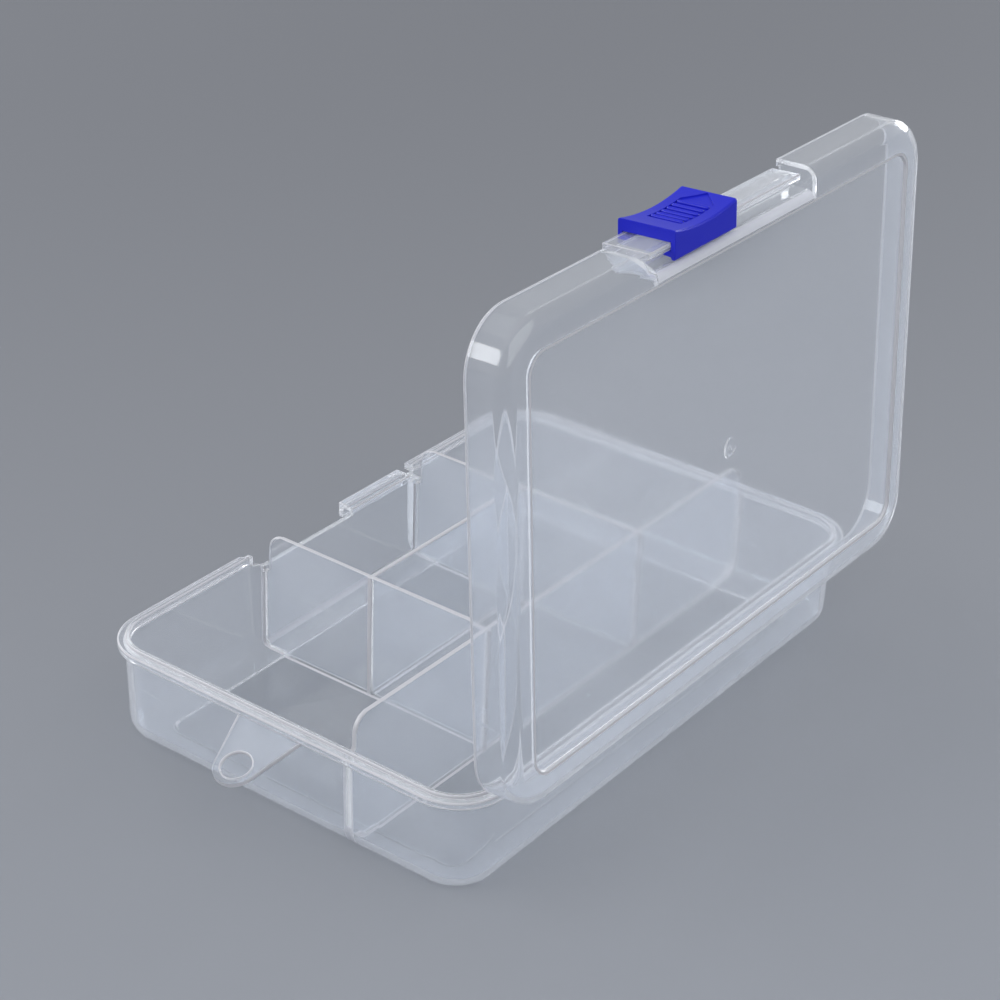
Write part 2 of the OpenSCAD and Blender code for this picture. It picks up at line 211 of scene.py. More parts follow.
# %% [markdown]
# ## Floor and light
#
# The box stands on plain grey paper, whose colour is painted lighter towards the hinge side as a painted
# fall-off of the light. Clear plastic shows mostly what surrounds it, so the sky is an even, slightly cool
# dome. Milky plastic shows best when light comes from behind it against a darker ground, so two low lamps
# stand behind the box. One lamp overhead and one in front fill the rest, and a small one at the side puts the
# bright window on the lid's round corner. None stands where the photo's camera would see it mirrored in a
# flat face.

# %% Build the floor and the lamps
FLOOR_REACH = 3.0
# Painted light on the paper: its colour goes from a shaded far tone to a lit near tone, standing in for the
# light falling off across it.
FLOOR_SHADED_FAR = (0.165, 0.172, 0.190, 1)
FLOOR_LIT_NEAR = (0.296, 0.312, 0.346, 1)
LIGHT_FALLOFF_TOWARDS = (0.42, 0.90, 0.0)
LIGHT_FALLOFF_FROM = -0.40
LIGHT_FALLOFF_TO = 0.50
PAPER_ROUGHNESS = 0.9
PAPER_GLOSS = 0.1
DOME_COLOUR = (0.95, 0.97, 1.0, 1)
DOME_STRENGTH = 0.465
LAMP_COLOUR = (0.985, 0.992, 1.0)
LAMP_AIM = Vector((0, 0, 0.05))

# Turn and height in degrees around the box, reach in metres, size, power
LAMPS = {
    "overhead_softbox": (300, 80, 1.4, (1.8, 1.5), 3.2),
    "back_left_softbox": (268, 20, 1.4, (1.5, 0.9), 8.8),
    "back_right_softbox": (178, 9, 1.4, (0.8, 0.36), 8.2),
    "front_softbox": (84, 42, 1.3, (1.7, 1.4), 10.4),
    "key_softbox": (322, 28, 1.1, (0.9, 0.42), 7.0),
}


def make_paper():
    paint = bpy.data.materials.new("studio_paper")
    paint.use_nodes = True
    tree = paint.node_tree
    # The paper's colour is painted lighter towards the hinge side: a painted fall-off of the light, not a
    # tone of the paper.
    towards = add_node(tree, "ShaderNodeVectorMath", {0: object_place(tree), 1: LIGHT_FALLOFF_TOWARDS},
                       operation="DOT_PRODUCT").outputs["Value"]
    span = {"From Min": LIGHT_FALLOFF_FROM, "From Max": LIGHT_FALLOFF_TO}
    painted_falloff = add_node(tree, "ShaderNodeMapRange", {"Value": towards} | span, interpolation_type="SMOOTHSTEP")
    shader = tree.nodes["Principled BSDF"]
    plug(tree, shader.inputs["Base Color"], fade_colours(tree, painted_falloff, FLOOR_SHADED_FAR, FLOOR_LIT_NEAR))
    shader.inputs["Roughness"].default_value = PAPER_ROUGHNESS
    shader.inputs["Specular IOR Level"].default_value = PAPER_GLOSS
    return paint


def make_floor():
    corners = [(x * FLOOR_REACH, y * FLOOR_REACH, 0) for x, y in ((-1, -1), (1, -1), (1, 1), (-1, 1))]
    mesh = bpy.data.meshes.new("studio_floor")
    mesh.from_pydata(corners, [], [(0, 1, 2, 3)])
    mesh.materials.append(make_paper())
    new_object("studio_floor", mesh)


def make_lamp(name, turn, height, reach, size, power):
    """A soft lamp aimed at the box."""
    data = bpy.data.lights.new(name, "AREA")
    data.shape = "RECTANGLE"
    data.size, data.size_y = size
    data.energy = power
    data.color = LAMP_COLOUR
    lamp = new_object(name, data)
    turn, height = radians(turn), radians(height)
    away = Vector((cos(height) * cos(turn), cos(height) * sin(turn), sin(height)))
    lamp.location = away * reach + LAMP_AIM
    lamp.rotation_euler = (-away).to_track_quat("-Z", "Y").to_euler()


def make_dome():
    scene.world = bpy.data.worlds.new("studio_dome")
    scene.world.use_nodes = True
    background = scene.world.node_tree.nodes["Background"]
    background.inputs["Color"].default_value = DOME_COLOUR
    background.inputs["Strength"].default_value = DOME_STRENGTH


make_floor()
make_dome()
for lamp_name, place in LAMPS.items():
    make_lamp(lamp_name, *place)
print("lamps:", ", ".join(LAMPS))

# %% [markdown]
# ## Shared surface effects
#
# Both plastics come out of steel moulds, so they share two effects, each a node group with its own values
# in each material. The first is the faint cloudiness where the melt met itself while it filled the mould.
# The second is handling: fine hairline scuffs that only change how sharp a reflection is.

# %% Make the node groups
FLOW_STRETCH = (0.35, 1.0, 0.8)
FLOW_DETAIL = 4
SCUFF_TURNS = (0.4, 1.5, 2.6)
SCUFF_TILT = 0.3
SCUFF_STRETCH = (1.0, 0.04, 0.6)
SCUFF_SCALE = 1400
SCUFF_LIMIT = 0.72
PATCH_SCALE = 45
PATCH_LIMIT = 0.52
PATCH_ROUGHNESS = 0.02


def noise_node(tree, vector, scale, detail):
    return add_node(tree, "ShaderNodeTexNoise",
                    {"Vector": vector, "Scale": scale, "Detail": detail}).outputs["Fac"]


def stretched(tree, vector, scale, turn=(0, 0, 0)):
    return add_node(tree, "ShaderNodeMapping", {"Vector": vector, "Scale": scale, "Rotation": turn})


def make_melt_flow():
    """Cloudy streaks of the melt: a tint between two colours and a height for the bump."""
    tree, given, out = new_tree(
        "melt_flow", "ShaderNodeTree",
        {"Vector": "Vector", "Scale": "Float", "Thin Colour": "Color", "Thick Colour": "Color"},
        {"Colour": "Color", "Height": "Float"})
    cloud = noise_node(tree, stretched(tree, given["Vector"], FLOW_STRETCH), given["Scale"], FLOW_DETAIL)
    plug(tree, out["Colour"], fade_colours(tree, cloud, given["Thin Colour"], given["Thick Colour"]))
    plug(tree, out["Height"], cloud)
    return tree


def make_handling():
    """Hairline scuffs: a roughness that is raised along thin crossing lines."""
    tree, given, out = new_tree(
        "handling_scuffs", "ShaderNodeTree", {"Vector": "Vector", "Clean": "Float", "Scuffed": "Float"},
        {"Roughness": "Float"})
    calc = partial(math_node, tree)
    lines = None
    for turn in SCUFF_TURNS:
        drawn = stretched(tree, given["Vector"], SCUFF_STRETCH, (SCUFF_TILT * turn, 0, turn))
        thin = calc("GREATER_THAN", noise_node(tree, drawn, SCUFF_SCALE, 1), SCUFF_LIMIT)
        lines = thin if lines is None else calc("MAXIMUM", lines, thin)
    patch = noise_node(tree, given["Vector"], PATCH_SCALE, 2)
    mask = calc("MULTIPLY", lines, calc("GREATER_THAN", patch, PATCH_LIMIT))
    span = calc("SUBTRACT", given["Scuffed"], given["Clean"])
    rough = calc("MULTIPLY_ADD", span, mask, given["Clean"])
    plug(tree, out["Roughness"], calc("MULTIPLY_ADD", patch, PATCH_ROUGHNESS, rough))
    return tree


MELT_FLOW = make_melt_flow()
HANDLING = make_handling()
print("groups:", MELT_FLOW.name, HANDLING.name)

# %% [markdown]
# ## The two plastics
#
# Natural polypropylene lets light through and scatters a little of it. A share of plain diffuse light on
# each surface would look like paint, so the walls are nearly all transmission with a thin volume scatter
# inside: the milk. Light that runs along inside a wall leaves it at the rims, which look white. A renderer
# would need very many bounces for that, so narrow strips get a second material that is mostly diffuse.
# Closed glass-like shells also shut the lamps out, so rays towards a lamp, and diffuse ones, pass straight
# through with a small loss, while the camera sees true refraction. The blue slider is the same plastic with
# pigment, an ordinary satin surface.

# %% Make the materials
BUMP_DISTANCE = 0.0002
PLASTIC_IOR = 1.47
LAMP_TINT = (0.955, 0.963, 0.972, 1)
MILK_COLOUR = (0.95, 0.965, 1.0, 1)
MILK_DENSITY = 92.0
MILK_FORWARD = 0.3


def place_group(tree, group, vector, values):
    return add_node(tree, "ShaderNodeGroup", {"Vector": vector} | values, node_tree=group).outputs


def make_plastic(name, flow, scuffs, bump, **constants):
    material = bpy.data.materials.new(name)
    material.use_nodes = True
    tree = material.node_tree
    place = object_place(tree)
    melt = place_group(tree, MELT_FLOW, place, flow)
    worn = place_group(tree, HANDLING, place, scuffs)
    relief = add_node(tree, "ShaderNodeBump",
                      {"Strength": bump, "Distance": BUMP_DISTANCE, "Height": melt["Height"]})
    shader = tree.nodes["Principled BSDF"]
    plug(tree, shader.inputs["Base Color"], melt["Colour"])
    plug(tree, shader.inputs["Roughness"], worn["Roughness"])
    plug(tree, shader.inputs["Normal"], relief)
    for socket, value in constants.items():
        shader.inputs[socket.replace("_", " ")].default_value = value
    return material


def let_lamps_through(tree, surface):
    """Light on its way to what is behind the plastic passes straight, as through a thin wall."""
    path = add_node(tree, "ShaderNodeLightPath").outputs
    straight = math_node(tree, "MAXIMUM", path["Is Shadow Ray"], path["Is Diffuse Ray"])
    passing = add_node(tree, "ShaderNodeBsdfTransparent", {"Color": LAMP_TINT})
    mix = add_node(tree, "ShaderNodeMixShader", {0: straight, 1: tree.nodes["Principled BSDF"], 2: passing})
    plug(tree, surface, mix)


def fill_with_milk(tree, volume):
    """The crystals in the plastic scatter light, so a wall turns faintly milky."""
    plug(tree, volume, add_node(tree, "ShaderNodeVolumeScatter", {
        "Color": MILK_COLOUR, "Density": MILK_DENSITY, "Anisotropy": MILK_FORWARD}))


CLEAR = make_plastic(
    "natural_polypropylene",
    {"Scale": 22.0, "Thin Colour": (0.87, 0.90, 0.95, 1), "Thick Colour": (0.93, 0.95, 0.99, 1)},
    {"Clean": 0.045, "Scuffed": 0.16}, 0.015, IOR=PLASTIC_IOR, Transmission_Weight=0.955)
# The rim plastic is painted light: pale and mostly diffuse, it stands in for the light that leaves the walls
# at their rims and makes them white.
RIM = make_plastic(
    "polypropylene_rim_painted_light",
    {"Scale": 22.0, "Thin Colour": (0.60, 0.60, 0.645, 1), "Thick Colour": (0.66, 0.66, 0.705, 1)},
    {"Clean": 0.3, "Scuffed": 0.38}, 0.015, IOR=PLASTIC_IOR, Transmission_Weight=0.3)
for milky in (CLEAR.node_tree, RIM.node_tree):
    ends = milky.nodes["Material Output"].inputs
    let_lamps_through(milky, ends["Surface"])
    fill_with_milk(milky, ends["Volume"])
BLUE = make_plastic(
    "blue_polypropylene",
    {"Scale": 60.0, "Thin Colour": (0.010, 0.014, 0.43, 1), "Thick Colour": (0.014, 0.019, 0.49, 1)},
    {"Clean": 0.36, "Scuffed": 0.46}, 0.1, IOR=1.45, Specular_IOR_Level=0.27)
print("materials:", CLEAR.name, RIM.name, BLUE.name)

# %% [markdown]
# ## Helpers for moulded shapes
#
# A moulding has no sharp corner: the cutter that makes the mould leaves a radius on every edge. The first
# helper rounds the corners of an outline, each by its own radius. The others turn outlines into closed
# solids, straight, stacked or swept round the box, and cut or join them. Strips narrower than RIM_WIDTH are
# the roundings and thin edges where light leaving the real plastic makes it look white, so they get the rim
# material, painted light for that white, as they are made. Cuts and joins keep it, because every drawn solid
# has the same two slots.

# %% Outlines with rounded corners
def direction(angle):
    return Vector((cos(angle), sin(angle)))


def softened(corners, steps):
    """Points of an outline whose corners are (x, y, radius)."""
    points = []
    before = corners[-1:] + corners[:-1]
    after = corners[1:] + corners[:1]
    for (x, y, radius), last, following in zip(corners, before, after):
        here = Vector((x, y))
        if radius == 0:
            points.append(here)
            continue
        back = (Vector(last[:2]) - here).normalized()
        ahead = (Vector(following[:2]) - here).normalized()
        half = back.angle(ahead) / 2
        centre = here + (back + ahead).normalized() * radius / sin(half)
        start = here + back * radius / tan(half) - centre
        end = here + ahead * radius / tan(half) - centre
        first = atan2(start.y, start.x)
        sweep = (atan2(end.y, end.x) - first + pi) % (2 * pi) - pi
        points += [centre + radius * direction(first + sweep * i / steps) for i in range(steps + 1)]
    return points


def round_rectangle(half_x, half_y, radius, steps):
    return softened([(half_x, half_y, radius), (-half_x, half_y, radius), (-half_x, -half_y, radius),
                     (half_x, -half_y, radius)], steps)


FULL_TURN = np.linspace(0, 2 * pi, 49)[:-1]
print("a soft rectangle has", len(round_rectangle(9, 9, EDGE_R, 3)), "points")

# %% Solids from outlines
RIM_WIDTH = 0.7
CORNER_STEPS = 16
MERGE = 1e-5
PLACES = {"X": lambda a, b, h: (h, a, b), "Y": lambda a, b, h: (a, h, b), "Z": lambda a, b, h: (a, b, h)}
ACROSS = {"X": PLACES["Y"], "Y": PLACES["X"]}


def as_object(shape, rims="narrow"):
    """Closes a drawn solid. Its narrow strips are rims, or all of it, or what was set before."""
    bmesh.ops.remove_doubles(shape, verts=shape.verts, dist=MERGE)
    bmesh.ops.dissolve_degenerate(shape, edges=shape.edges, dist=MERGE / 10)
    bmesh.ops.recalc_face_normals(shape, faces=shape.faces)
    for face in [] if rims == "set" else shape.faces:
        longest = max(edge.calc_length() for edge in face.edges)
        face.material_index = int(rims == "all" or face.calc_area() < RIM_WIDTH * longest)
    mesh = bpy.data.meshes.new("drawing")
    shape.to_mesh(mesh)
    shape.free()
    mesh.materials.append(CLEAR)
    mesh.materials.append(RIM)
    return new_object("drawing", mesh)


def wall_rings(shape, rings, capped=True):
    """Walls from ring to ring. The first and last ring are closed, or else the last goes on to the first."""
    strips = []
    for near, far in zip(rings, rings[1:] if capped else rings[1:] + rings[:1]):
        following = near[1:] + near[:1], far[1:] + far[:1]
        strips.append([shape.faces.new(corners) for corners in zip(near, following[0], following[1], far)])
    return [shape.faces.new(ring) for ring in (rings[0], rings[-1])] if capped else [], strips


def round_edges(shape, edges, radius):
    bmesh.ops.bevel(shape, geom=list(set(edges)), offset=radius, segments=3, profile=0.5, affect="EDGES",
                    clamp_overlap=True)


def prism(outline, low, high, along, soft=0.0, rims="narrow"):
    """A straight solid whose outline is drawn across an axis, with its end edges rounded by soft."""
    shape = bmesh.new()
    put = PLACES[along]
    caps, _ = wall_rings(shape, [[shape.verts.new(put(p[0], p[1], h)) for p in outline] for h in (low, high)])
    if soft:
        round_edges(shape, (edge for cap in caps for edge in cap.edges), soft)
    return as_object(shape, rims)


def block(low, high, soft=0.0):
    return prism(softened([(low[0], low[1], soft), (high[0], low[1], soft), (high[0], high[1], soft),
                           (low[0], high[1], soft)], 3), low[2], high[2], "Z", soft)


def stacked(levels, rims="narrow"):
    """A solid through level outlines, each given as its height and its points."""
    shape = bmesh.new()
    wall_rings(shape, [[shape.verts.new((p.x, p.y, z)) for p in outline] for z, outline in levels])
    return as_object(shape, rims)


def rounded_plate(half_x, half_y, radius, steps, middle, heights, grows, rims="narrow"):
    """A plate whose side slopes from an outline that is grown a little to another one."""
    outlines = [round_rectangle(half_x + grow, half_y + grow, radius + grow, steps) for grow in grows]
    return stacked([(z, [middle + p for p in outline]) for z, outline in zip(heights, outlines)], rims)


def swept(section, core_x, core_y, shift_y=0.0):
    """A section of (distance out, height) carried round a rectangle whose corners it turns about."""
    shape = bmesh.new()
    rings = []
    for out, height in section:
        ring = []
        for quarter, (sx, sy) in enumerate(((1, 1), (-1, 1), (-1, -1), (1, -1))):
            for i in range(CORNER_STEPS + 1):
                turn = direction((quarter + i / CORNER_STEPS) * pi / 2) * out
                ring.append(shape.verts.new((sx * core_x + turn.x, sy * core_y + turn.y + shift_y, height)))
        rings.append(ring)
    _, strips = wall_rings(shape, rings)
    for strip, here, ahead in zip(strips, section, section[1:]):
        narrow = (Vector(ahead[:2]) - Vector(here[:2])).length < RIM_WIDTH
        for face in strip:
            face.material_index = int(narrow)
    return as_object(shape, "set")


print("strips narrower than", RIM_WIDTH, "mm are rims")

# %% Cutting, joining and finishing
SHARP_ANGLE = radians(40)
FLAT_FACE_WEIGHT = 100


def keep_result(body):
    """Keeps what the modifiers of an object make as its plain mesh."""
    bpy.context.view_layer.update()
    plain = bpy.data.meshes.new_from_object(body.evaluated_get(bpy.context.evaluated_depsgraph_get()))
    spent = body.data
    body.modifiers.clear()
    body.data = plain
    bpy.data.meshes.remove(spent)
    return plain


def combine(body, tool, how="DIFFERENCE"):
    """Cuts the tool from the body, or joins it, and removes the tool."""
    step = body.modifiers.new("combine", "BOOLEAN")
    step.operation = how
    step.solver = "MANIFOLD"
    step.object = tool
    result = keep_result(body)
    spent = tool.data
    bpy.data.objects.remove(tool)
    bpy.data.meshes.remove(spent)
    assert result.vertices, f"{how} left nothing of {body.name}"
    return body


def join(body, *tools):
    for tool in tools:
        combine(body, tool, "UNION")


def finish_moulding(body, name, turn=None, plastic=None):
    """Turns a drawing, scales it to metres, shades its curves smooth and sets another plastic if given."""
    if turn is not None:
        body.data.transform(turn)
    body.data.transform(Matrix.Scale(MM, 4))
    body.data.shade_smooth()
    body.data.set_sharp_from_angle(angle=SHARP_ANGLE)
    flat = body.modifiers.new("flat faces stay flat", "WEIGHTED_NORMAL")
    flat.keep_sharp = True
    flat.weight = FLAT_FACE_WEIGHT
    mesh = keep_result(body)
    body.name = mesh.name = name
    painted = [plastic or mesh.materials[face.material_index] for face in mesh.polygons]
    used = [material for material in (CLEAR, RIM, BLUE) if material in painted]
    mesh.materials.clear()
    for material in used:
        mesh.materials.append(material)
    mesh.polygons.foreach_set("material_index", [used.index(material) for material in painted])
    print(name, len(painted), "faces,", painted.count(RIM), "of them rims")
    return body


print("curves are smooth up to an edge of", round(SHARP_ANGLE, 3), "rad")

# %% [markdown]
# ## The tray
#
# The tray is a wall section carried round a rectangle with round corners: a foot, a drafted wall that
# meets the floor in a large radius, a flange under the rim, a ledge for the lid and a thin upright lip.
# A sweep keeps that section true all the way round. The hollow is a second sweep, cut out of the first.

# %% Sections of the tray
FLANGE_LEAN = 0.06
FLANGE_R = 0.35
LIP_FOOT_R = 0.12


def tray_outside():
    flange = CORNER_R + LIP + LEDGE
    return softened([
        (0, FOOT, 0), (CORNER_R - DRAFT + WALL, FOOT, BASE_R),
        (CORNER_R + WALL - FLANGE_LEAN, FLANGE_Z, EDGE_R), (flange, FLANGE_Z, EDGE_R),
        (flange, LEDGE_Z, FLANGE_R), (CORNER_R + LIP, LEDGE_Z, LIP_FOOT_R), (CORNER_R + LIP, LIP_TOP, EDGE_R),
        (0, LIP_TOP, 0)], 7)


def tray_hollow():
    wall = softened([(0, BAND_Z, 0), (CORNER_R - DRAFT, BAND_Z, BASE_R - WALL),
                     (CORNER_R, LIP_TOP - FLARE, 0)], 6)
    mouth = [Vector((CORNER_R + FLARE - FLARE * cos(a), LIP_TOP - FLARE + FLARE * sin(a)))
             for a in np.linspace(0.1, pi / 2, 5)]
    return wall + mouth + [Vector((CORNER_R + FLARE, LIP_TOP + 1)), Vector((0, LIP_TOP + 1))]


print("sections:", len(tray_outside()), "and", len(tray_hollow()), "points")

# %% [markdown]
# ### The recess for the latch
#
# Where the slider runs, the wall is set back and the rim is missing, so that the slider stays inside the
# outline of the box. The recess has a square far end and a slanted near end, and its wall keeps the same
# thickness: the space outside it is drawn once as it is and once grown by a wall.

# %% Space of the recess
NOTCH_X0 = -27.0
NOTCH_X1 = 25.0
NOTCH_IN_Y = -IN_Y + 2.4
NOTCH_OUT_Y = NOTCH_IN_Y - WALL
NOTCH_Z = LEDGE_Z - 1.8
NOTCH_PAST = 1.5
JOG_X = NOTCH_X1 - 0.9
JOG_REACH = 8.0
JOG_R = 1.3
JOG_R_IN = 0.8
RECESS_R = 2.4
RECESS_DEEP = 9
FAN = tan(pi / 8)
SIDE = 60


def recess(section, x0, x1, y, grow, low, high):
    """The space under a section (y, z) that is also inside the plan of the recess."""
    near = x1 + FAN * grow
    plan = softened([(x0 - grow, 0, 0), (near, 0, 0), (near, y, JOG_R_IN if grow else JOG_R),
                     (near + JOG_REACH, y - JOG_REACH, 0), (x0 - grow, y - JOG_REACH, 0)], 4)
    return combine(prism(section, -SIDE, SIDE, "X"), prism(plan, low, high, "Z"), "INTERSECT")


def tray_recess(grow):
    y = NOTCH_OUT_Y + grow
    far = NOTCH_OUT_Y - RECESS_DEEP
    low = FOOT + FLOOR * grow / WALL
    bend = RECESS_R - grow
    top = LIP_TOP + 2
    section = softened([(far, low - OVER, 0), (y + bend, low - OVER, 0), (y + bend, low, 0), (y, low, bend),
                        (y, top, 0), (far, top, 0)], 8)
    return recess(section, NOTCH_X0, JOG_X, y, grow, -1, top + 1)


print("recess from", NOTCH_X0, "to", NOTCH_X1, "set back to", round(NOTCH_OUT_Y, 2))

# %% Dividers
DIV_TOP = LIP_TOP + 6.2
DIV_FOOT = 1.3
DIV_EDGE = 1.0
DIV_EDGE_R = 0.3
DIV_R = 3.2
DIV_ROOT_R = 0.4
DIV_INSET = 1.4
DIV_SUNK = 0.4
DIV_LOW = FLOOR - 0.3
DIV_SHELF = 0.9
LATCH_SHELF = 0.7
BEND_RISE = 5
BEND_RUN = 6
LATCH_BEND_RISE = 2.2
NEAR_X = 24.5
FAR_X = -26.9
LONG_Y = 17.3
SHORT_Y = -13.5


def half_thickness(z):
    return (DIV_EDGE + (DIV_FOOT - DIV_EDGE) * (DIV_TOP - z) / DIV_TOP) / 2


def plate(outline, along, place):
    """A divider: its outline, thinner towards the top, with its free edges rounded."""
    shape = bmesh.new()
    put = ACROSS[along]
    caps, _ = wall_rings(shape, [[shape.verts.new(put(s, z, place + side * half_thickness(z)))
                                  for s, z in outline] for side in (-1, 1)])
    free = [edge for cap in caps for edge in cap.edges if min(v.co.z for v in edge.verts) > FOOT + 2]
    round_edges(shape, free, DIV_EDGE_R)
    return as_object(shape)


def long_outline():
    free = IN_X - DIV_INSET
    sunk = IN_X + DIV_SUNK
    shelf = LIP_TOP - DIV_SHELF
    half = [(free, DIV_TOP, DIV_R), (free, shelf, DIV_ROOT_R), (sunk, shelf, 0),
            (sunk, BAND_Z + BEND_RISE, 0), (IN_X - BEND_RUN, DIV_LOW, 0)]
    return softened(half + [(-x, z, r) for x, z, r in half[::-1]], 8)


def cross_outline():
    free = NOTCH_IN_Y + DIV_INSET
    sunk = NOTCH_IN_Y - DIV_SUNK
    shelf = NOTCH_Z - LATCH_SHELF
    return softened([(LONG_Y, DIV_TOP, 0), (LONG_Y, DIV_LOW, 0), (NOTCH_IN_Y + RECESS_R, DIV_LOW, 0),
                     (sunk, BAND_Z + LATCH_BEND_RISE, 0), (sunk, shelf, 0), (free, shelf, DIV_ROOT_R),
                     (free, DIV_TOP, DIV_R)], 8)


def short_outline():
    return [Vector(p) for p in ((FAR_X, DIV_LOW), (NEAR_X, DIV_LOW), (NEAR_X, DIV_TOP), (FAR_X, DIV_TOP))]


print("dividers stand", round(DIV_TOP - BAND_Z, 2), "high")

# %% [markdown]
# ### Seams of the dividers
#
# Where a divider meets the floor or a wall, the mould leaves a small fillet. Light that runs inside the
# plates comes out there, so each seam shows as a white line, painted here with the rim plastic. A seam is a
# bar with a diamond section that follows the inside of the tray in the plane of its divider, so it also
# climbs the bend into the wall.

# %% Paths of the seams
SEAM_SPREAD = 1.15
SEAM_RISE = 0.5
COLUMN_REACH = 1.1
COLUMN_FLAT = (0.68, 0.45)
STEP_RUN = 0.4


def seam(path, along, place):
    """A diamond bar along points (s, z) in the plane of a divider."""
    shape = bmesh.new()
    put = ACROSS[along]
    rings = []
    for here, before, after in zip(path, path[:1] + path[:-1], path[1:] + path[-1:]):
        ahead = (after - before).normalized()
        inward = Vector((-ahead.y, ahead.x)) * SEAM_RISE
        corners = [(here + inward, place), (here, place + SEAM_SPREAD), (here - inward, place),
                   (here, place - SEAM_SPREAD)]
        rings.append([shape.verts.new(put(spot.x, spot.y, across)) for spot, across in corners])
    wall_rings(shape, rings)
    return as_object(shape, "all")


def long_seam():
    wall = [Vector((CORE_X + p.x, p.y)) for p in tray_hollow() if BAND_Z < p.y < LIP_TOP - 1]
    top = [Vector((IN_X - 0.05, LIP_TOP - 1.2))]
    step = [Vector((IN_X - FOOT_INSET + STEP_RUN, BAND_Z)), Vector((IN_X - FOOT_INSET, FLOOR))]
    half = top + wall[::-1] + step
    return half + [Vector((-p.x, p.y)) for p in half[::-1]]


def cross_seam():
    bend = softened([(NOTCH_IN_Y, NOTCH_Z - 1, 0), (NOTCH_IN_Y, BAND_Z, RECESS_R - WALL),
                     (LONG_Y, BAND_Z, 0)], 7)
    step = FOOT_INSET - IN_Y
    return bend[:-1] + [Vector((step - STEP_RUN, BAND_Z)), Vector((step, FLOOR)), Vector((LONG_Y, FLOOR))]


def seam_column(x, y, flat=False):
    """The upright seam where two dividers meet, flat on the side where only one of them goes on."""
    out, half = COLUMN_FLAT
    front = [(x + out, y - half), (x + out, y + half)] if flat else [(x + COLUMN_REACH, y)]
    return prism(front + [(x, y + COLUMN_REACH), (x - COLUMN_REACH, y), (x, y - COLUMN_REACH)],
                 DIV_LOW, DIV_TOP - 0.15, "Z", rims="all")


print("seams:", len(long_seam()), "and", len(cross_seam()), "points")

# %% Hang tab
HANG_R = 3.1
HANG_RING = 1.6
HANG_REACH = 9.7
HANG_HALF = 7.95
HANG_Y = -0.9
HANG_DROOP = radians(19.8)
HANG_T = 1.0
HANG_ROOT = 1.2
HANG_SOFT = 0.34
HANG_LIFT = 0.06


def hang_bore():
    """The hole of the tab, flared at both faces."""
    levels = ((-HANG_T - FLARE, HANG_R + 2 * FLARE), (-HANG_T + FLARE, HANG_R), (-FLARE, HANG_R),
              (-FLARE / 3, HANG_R + FLARE / 3), (FLARE, HANG_R + 3 * FLARE))
    middle = Vector((HANG_REACH, 0))
    return stacked([(z, [middle + radius * direction(a) for a in FULL_TURN]) for z, radius in levels], "all")


def hang_tab():
    """The tab is drawn flat with its hole, then drooped about the edge of the flange."""
    ring = HANG_R + HANG_RING
    meet = atan2(HANG_HALF, -HANG_REACH) - acos(ring / hypot(HANG_HALF, HANG_REACH))
    tip = [(HANG_REACH + ring * cos(a), ring * sin(a)) for a in np.linspace(-meet, meet, 25)]
    outline = [(-HANG_ROOT, -HANG_HALF), (0, -HANG_HALF)] + tip + [(0, HANG_HALF), (-HANG_ROOT, HANG_HALF)]
    tab = combine(prism(outline, -HANG_T, 0, "Z", HANG_SOFT), hang_bore())
    place = (FLANGE_X, HANG_Y, FLANGE_Z + HANG_LIFT)
    tab.data.transform(Matrix.Translation(place) @ Matrix.Rotation(HANG_DROOP, 4, "Y"))
    return combine(tab, block((IN_X, -20, LEDGE_Z - 0.5), (FLANGE_X + 2, 20, LEDGE_Z + 3)))


print("hang hole of", 2 * HANG_R, "mm, drooping by", round(HANG_DROOP, 3), "rad")

# %% Rail and catch
RAIL_IN_Y = NOTCH_OUT_Y - 1.45
RAIL_OUT_Y = RAIL_IN_Y - 1.4
RAIL_Z0 = hinge_at.z - 3.85
RAIL_Z1 = RAIL_Z0 + 10.2
WEB_INSET = 2.4
WEB_Z0 = RAIL_Z0 + WEB_INSET
WEB_Z1 = RAIL_Z1 - WEB_INSET
LID_RIM_Z = LEDGE_Z + 0.3
SPLIT_Z = LID_RIM_Z + 0.24
CATCH_GAP = 0.3
CATCH_X0 = NOTCH_X0 + 2.5
CATCH_X1 = CATCH_X0 + 20.3
RAIL_SOFT = 0.25
RAIL_END_R = 0.2


def latch_catch():
    top = SPLIT_Z - CATCH_GAP
    riser = LID_RIM_Z - CATCH_GAP
    back = NOTCH_OUT_Y + 0.3
    outline = softened([
        (NOTCH_IN_Y, NOTCH_Z - 1, 0), (back, NOTCH_Z - 1, 0), (back, WEB_Z0, 0), (RAIL_IN_Y, WEB_Z0, 0.15),
        (RAIL_IN_Y, RAIL_Z0, RAIL_SOFT), (RAIL_OUT_Y, RAIL_Z0, RAIL_SOFT), (RAIL_OUT_Y, top, 0.2),
        (NOTCH_OUT_Y, top, 0.1), (NOTCH_OUT_Y, riser, 0), (NOTCH_IN_Y, riser, 0.2)], 3)
    return prism(outline, CATCH_X0, CATCH_X1, "X", RAIL_END_R)


print("rail", round(RAIL_Z1 - RAIL_Z0, 2), "wide, catch", round(CATCH_X1 - CATCH_X0, 2), "long")

# %% [markdown]
# ### Put the tray together
#
# The real tray is one piece of plastic, so the drawn solids are joined into one closed mesh. In clear
# plastic that matters: two solids that only touch would show a false mirror face between them.

# %% Build the tray moulding
FOOT_SLOPE = (0.35, 0.75)
FOOT_SLOPE_IN = (-0.25, 0.35)
foot_plate = partial(rounded_plate, IN_X - FOOT_INSET, IN_Y - FOOT_INSET, FOOT_R, 8, Vector((0, 0)))


